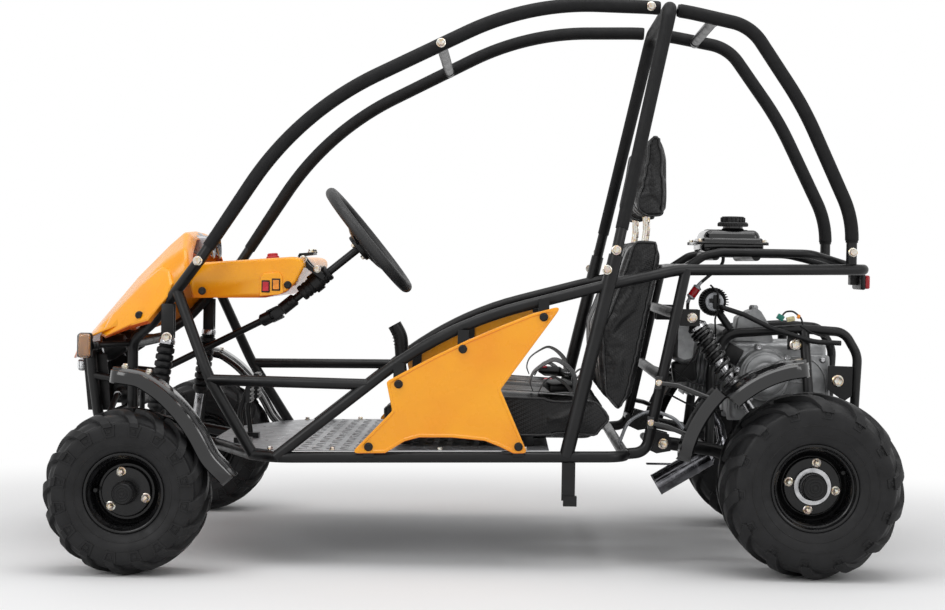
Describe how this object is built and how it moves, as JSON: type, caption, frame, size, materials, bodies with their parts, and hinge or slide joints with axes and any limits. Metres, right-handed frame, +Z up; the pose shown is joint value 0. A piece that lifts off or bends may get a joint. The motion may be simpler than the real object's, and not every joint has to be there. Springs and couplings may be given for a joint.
{
  "type": "mini go-kart",
  "caption": "Two-seat off-road mini go-kart with a tube frame, tall roll cage, yellow nose and side panels, knobby tyres and rear engine.",
  "frame": {"origin": "middle of the bounding box in plan, on the ground", "axes": "-X towards the nose, -Y towards the driver's side, +Z up"},
  "size_m": [1.932, 1.185, 1.297],
  "materials": {
    "frame_black": "satin",
    "cage_black": "matte",
    "body_yellow": "gloss",
    "fender_black": "gloss",
    "plastic_black": "matte",
    "bezel_grey": "satin",
    "seat_vinyl": "satin",
    "tyre_rubber": "matte",
    "rim_black": "satin",
    "floor_steel": "satin",
    "engine_alloy": "satin",
    "bright_steel": "satin",
    "spring_black": "gloss",
    "wheel_foam": "matte",
    "belt_webbing": "matte",
    "lamp_clear": "gloss",
    "lamp_red": "gloss"
  },
  "bodies": {
    "chassis": {"bottom_frame": "frame_black", "breather": "plastic_black", "cables_and_hoses": "bright_steel", "column_bracket": "frame_black", "crankcase": "engine_alloy", "cylinder": "engine_alloy", "dash_console": "body_yellow", "engine_covers": "engine_alloy", "floor_pan": "floor_steel", "front_cage": "cage_black", "front_control_arms": "frame_black", "front_frame": "frame_black", "front_guard": "plastic_black", "front_shocks": "spring_black", "fuel_cap": "plastic_black", "fuel_tank": "fender_black", "gauge_bezel": "bezel_grey", "gear_lever": "frame_black", "hanging_tab": "frame_black", "headlights": "lamp_clear", "headrests": "seat_vinyl", "intake": "plastic_black", "lap_belts": "belt_webbing", "left_side_frame": "frame_black", "main_hoop": "cage_black", "muffler": "bright_steel", "nose_cowl": "body_yellow", "pedals": "frame_black", "pivot_brackets": "frame_black", "rack_housing": "frame_black", "rear_cage": "cage_black", "rear_fenders": "fender_black", "rear_rack": "frame_black", "rear_shocks": "spring_black", "right_side_frame": "frame_black", "seat_backs": "seat_vinyl", "seat_bases": "seat_vinyl", "side_panels": "body_yellow", "swing_arm": "frame_black", "tail_light": "lamp_red", "turn_signals": "lamp_clear"},
    "left_knuckle": {"left_knuckle": "frame_black", "left_front_fender": "fender_black"},
    "right_knuckle": {"right_knuckle": "frame_black", "right_front_fender": "fender_black"},
    "left_front_wheel": {"left_front_rim": "rim_black", "left_front_tyre": "tyre_rubber"},
    "right_front_wheel": {"right_front_rim": "rim_black", "right_front_tyre": "tyre_rubber"},
    "rear_axle": {"rear_axle": "bright_steel", "rear_rims": "rim_black", "rear_tyres": "tyre_rubber", "sprocket": "frame_black", "brake_disc": "bright_steel"},
    "steering_wheel": {"steering_wheel": "wheel_foam", "upper_steering_shaft": "frame_black"},
    "lower_steering_shaft": {"lower_steering_shaft": "frame_black"},
    "steering_rack": {"steering_rack": "bright_steel"},
    "left_tie_rod": {"left_tie_rod": "frame_black"},
    "right_tie_rod": {"right_tie_rod": "frame_black"}
  },
  "joints": [
    {"name": "left_steer", "type": "hinge", "parent": "chassis", "child": "left_knuckle", "pos_m": [-0.728, -0.412, 0.1775], "axis": [0, 0, 1], "range_deg": [-20, 20]},
    {"name": "right_steer", "type": "hinge", "parent": "chassis", "child": "right_knuckle", "pos_m": [-0.728, 0.412, 0.1775], "axis": [0, 0, 1], "range_deg": [-20, 20]},
    {"name": "left_front_roll", "type": "hinge", "parent": "left_knuckle", "child": "left_front_wheel", "pos_m": [-0.728, -0.52, 0.1775], "axis": [0, 1, 0], "continuous": true},
    {"name": "right_front_roll", "type": "hinge", "parent": "right_knuckle", "child": "right_front_wheel", "pos_m": [-0.728, 0.52, 0.1775], "axis": [0, 1, 0], "continuous": true},
    {"name": "rear_roll", "type": "hinge", "parent": "chassis", "child": "rear_axle", "pos_m": [0.763, 0, 0.203], "axis": [0, 1, 0], "continuous": true},
    {"name": "steering_wheel_turn", "type": "hinge", "parent": "chassis", "child": "steering_wheel", "pos_m": [-0.241, -0.2, 0.731], "axis": [0.7716, 0, 0.6361], "range_deg": [-110, 110]},
    {"name": "lower_shaft_turn", "type": "hinge", "parent": "chassis", "child": "lower_steering_shaft", "pos_m": [-0.4532, -0.2, 0.55608], "axis": [0.8646, -0.2532, 0.4339], "range_deg": [-110, 110]},
    {"name": "rack_slide", "type": "slide", "parent": "chassis", "child": "steering_rack", "axis": [0, 1, 0], "range_m": [-0.037, 0.037]},
    {"name": "left_tie_rod_swing", "type": "hinge", "parent": "left_knuckle", "child": "left_tie_rod", "pos_m": [-0.833, -0.408, 0.24], "axis": [0, 0, 1], "range_deg": [-20, 20]},
    {"name": "right_tie_rod_swing", "type": "hinge", "parent": "right_knuckle", "child": "right_tie_rod", "pos_m": [-0.833, 0.408, 0.24], "axis": [0, 0, 1], "range_deg": [-20, 20]}
  ],
  "couplings": [
    {"joint": "right_steer", "follows": "left_steer", "ratio": 1},
    {"joint": "steering_wheel_turn", "follows": "left_steer", "ratio": 5.5},
    {"joint": "lower_shaft_turn", "follows": "left_steer", "ratio": 5.5},
    {"joint": "rack_slide", "follows": "left_steer", "m_per_rad": -0.104},
    {"joint": "left_tie_rod_swing", "follows": "left_steer", "ratio": -1},
    {"joint": "right_tie_rod_swing", "follows": "left_steer", "ratio": -1}
  ]
}
